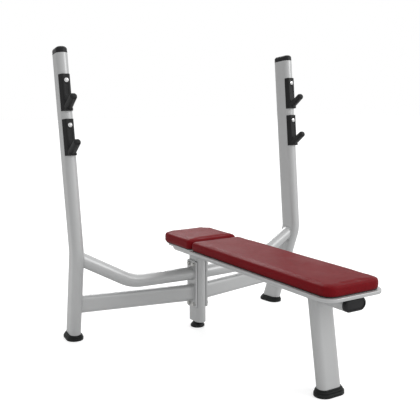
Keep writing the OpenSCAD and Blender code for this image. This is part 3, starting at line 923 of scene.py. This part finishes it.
def make_catches():
    """Four copies of one catch, with one bolt head and washer each."""
    model = catch_piece()
    washer = disc("washer_model", CATCH_WASHER_R, CATCH_WASHER_T, 0.0005)
    head = disc("head_model", CATCH_HEAD_R, CATCH_HEAD_T, 0.0022)
    pick(head, "FACE", lambda f: f.normal.z > 0.95 and f.calc_center_median().z > CATCH_HEAD_T - 0.0005)
    bpy.ops.mesh.inset(thickness=0.0012)
    bpy.ops.mesh.extrude_region_move(TRANSFORM_OT_translate={"value": (0, 0, -0.0028)})
    leave_edit()
    forward = Matrix.Rotation(math.pi / 2, 4, "X")
    heads, washers = [], []
    for side_name, side in SIDES.items():
        for level_name, level in LEVELS.items():
            spot = catch_matrix(side, level)
            piece = copy_of(model, f"{side_name}_{level_name}_bar_catch")
            place(piece, spot)
            add_piece(piece, "catch_plastic", stands_for=[f"{side_name}_{level_name}_catch"])
            seat = spot @ Matrix.Translation((0, -CATCH_T, CATCH_BOLT_UP)) @ forward
            for part, kept, lift in ((head, heads, CATCH_WASHER_T), (washer, washers, 0.0)):
                twin = copy_of(part, f"{part.name}_{side_name}_{level_name}")
                place(twin, seat @ Matrix.Translation((0, 0, lift)))
                kept.append(twin)
    for obj in (model, washer, head):
        bpy.data.objects.remove(obj)
    bolts = join(heads, "catch_bolt_heads")
    finish_mesh(bolts, 30)
    add_piece(bolts, "bright_steel", stands_for=["catch_bolts"])
    rings = join(washers, "catch_bolt_washers")
    finish_mesh(rings, 30)
    add_piece(rings, "bright_steel", stands_for=["catch_washers"])


# ---------------------------------------------------------------- bracket fasteners

def make_bracket_fasteners():
    """Heads on the left, nuts with the bolts' tips on the right, and a washer under each."""
    head = hex_bolt("head_model", HEX_ACROSS, HEAD_T)
    nut = hex_bolt("nut_model", HEX_ACROSS, NUT_T)
    tip = disc("tip_model", SHANK_R, SHANK_OUT, 0.001)
    washer = disc("washer_model", WASHER_R, WASHER_T, 0.0005)
    built = {"bolt_heads": [], "washers": [], "nuts": []}
    for dy in (LEFT, RIGHT):
        for dz in (LEFT, RIGHT):
            tightened = Matrix.Rotation(0.3 * dy + 0.5 * dz, 4, "Z")
            for side in (LEFT, RIGHT):
                seat = Vector((side * PLATE_OUT_X, POST_Y + dy * BOLT_DY / 2, PLATE_Z + dz * BOLT_DZ / 2))
                spot = Matrix.Translation(seat) @ Matrix.Rotation(side * math.pi / 2, 4, "Y") @ tightened
                lifted = spot @ Matrix.Translation((0, 0, WASHER_T))
                parts = [(washer, "washers", spot)]
                if side == LEFT:
                    parts.append((head, "bolt_heads", lifted))
                else:
                    parts += [(nut, "nuts", lifted), (tip, "bolt_heads", lifted)]
                for model, group, matrix in parts:
                    twin = copy_of(model, f"{group}_{len(built[group])}")
                    place(twin, matrix)
                    built[group].append(twin)
    for obj in (head, nut, tip, washer):
        bpy.data.objects.remove(obj)
    nodes = {"bolt_heads": "bracket_bolts", "washers": "bracket_washers", "nuts": "bracket_nuts"}
    for group, node in nodes.items():
        piece = join(built[group], f"bracket_{group}_set")
        finish_mesh(piece, 30)
        add_piece(piece, "zinc_steel", stands_for=[node])


# ---------------------------------------------------------------- welds

# The braces' heights at the bracket plates, and the upper brace's run to its bend
UPPER_BRACE_Z = 0.262
LOWER_BRACE_Z = 0.170
BRACE_BEND_S = 0.303
BRACE_RISE = math.radians(29)
UPPER_YAW = math.radians(3.6)


def weld(name, long, short, matrix):
    """A weld bead as a piece of its own."""
    add_piece(oval_weld(name, long, short, matrix), "frame_paint")


def brace_end(side):
    """Where an upper brace's slanted straight meets the upright's flat inner side."""
    yaw = Matrix.Rotation(UPPER_YAW, 3, "Z")
    start = Vector((PLATE_OUT_X, POST_Y, UPPER_BRACE_Z)) + yaw @ Vector((BRACE_BEND_S, 0, 0))
    heading = yaw @ Vector((math.cos(BRACE_RISE), 0, math.sin(BRACE_RISE)))
    outward = Matrix.Rotation(SPLAY, 3, "Y") @ Matrix.Rotation(TOE_IN, 3, "Z") @ Vector((1, 0, 0))
    flat = BEND - outward * TUBE_SHORT / 2
    square = heading.dot(outward)
    spot = start + heading * ((flat - start).dot(outward) / square)
    long_way = (heading - outward * square).normalized()
    turn = Matrix((long_way, outward.cross(long_way), outward)).transposed().to_4x4()
    return (Matrix.Diagonal((side, 1, 1, 1)) @ Matrix.Translation(spot) @ turn
            @ Matrix.Diagonal((1 / square, 1, 1, 1)))


def leg_weld():
    """The weld round the front leg's head, which rises round the beam's curved sides."""
    beam_low, beam_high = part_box("main_beam")
    round_r = (beam_high[2] - beam_low[2]) / 2
    piece = oval_weld("leg_beam_weld", TUBE_LONG, TUBE_SHORT, Matrix.Identity(4))
    for v in piece.data.vertices:
        over = min(max(abs(v.co.x) - NOSE, 0), round_r)
        lift = round_r - math.sqrt(round_r ** 2 - over ** 2)
        v.co.z += lift
        v.co.y += math.tan(LEG_SLANT) * lift
    place(piece, Matrix.Translation((0, LEG_FOOT_Y + math.tan(LEG_SLANT) * beam_low[2], beam_low[2])))
    add_piece(piece, "frame_paint")


def make_welds():
    """A bead at each end of every brace, on the post's head and on the leg's head."""
    face = Matrix.Rotation(math.pi / 2, 4, "Y")
    for side_name, side in SIDES.items():
        upper = Matrix.Translation((side * PLATE_OUT_X, POST_Y, UPPER_BRACE_Z)) @ face
        lower = Matrix.Translation((side * PLATE_OUT_X, POST_Y, LOWER_BRACE_Z)) @ face
        weld(f"{side_name}_upper_plate_weld", BRACE_D, BRACE_D, upper)
        weld(f"{side_name}_lower_plate_weld", LOW_BRACE_LONG, LOW_BRACE_SHORT, lower)
        weld(f"{side_name}_upper_upright_weld", BRACE_D, BRACE_D, brace_end(side))
        low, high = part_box(f"{side_name}_lower_brace")
        end_x = high[0] if side == RIGHT else low[0]
        spot = Vector((end_x - side * 0.001, high[1] - LOW_BRACE_SHORT / 2, LOWER_BRACE_Z))
        end = Matrix.Translation(spot) @ face
        weld(f"{side_name}_lower_upright_weld", LOW_BRACE_LONG, LOW_BRACE_SHORT, end)
    quarter = Matrix.Rotation(math.pi / 2, 4, "Z")
    weld("post_beam_weld", TUBE_LONG, TUBE_SHORT, Matrix.Translation((0, POST_Y, post_high[2])) @ quarter)
    leg_weld()


paint_frame()
set_camera()
set_stage()
make_cushion("main_cushion", "main_pad", front_r=0.040, rear_r=0.018, rise=0.0045, rear_grow=0.0)
make_cushion("head_cushion", "head_pad", front_r=0.018, rear_r=0.048, rise=0.0085, rear_grow=0.006)
make_tray("main_pressed_tray", "main_tray", front_r=0.050, rear_r=0.024)
make_tray("head_pressed_tray", "head_tray", front_r=0.018, rear_r=0.034)
for name in SIDES:
    make_upright_cap(name)
make_beam_cap()
make_boots()
make_leveller()
make_catches()
make_bracket_fasteners()
make_welds()
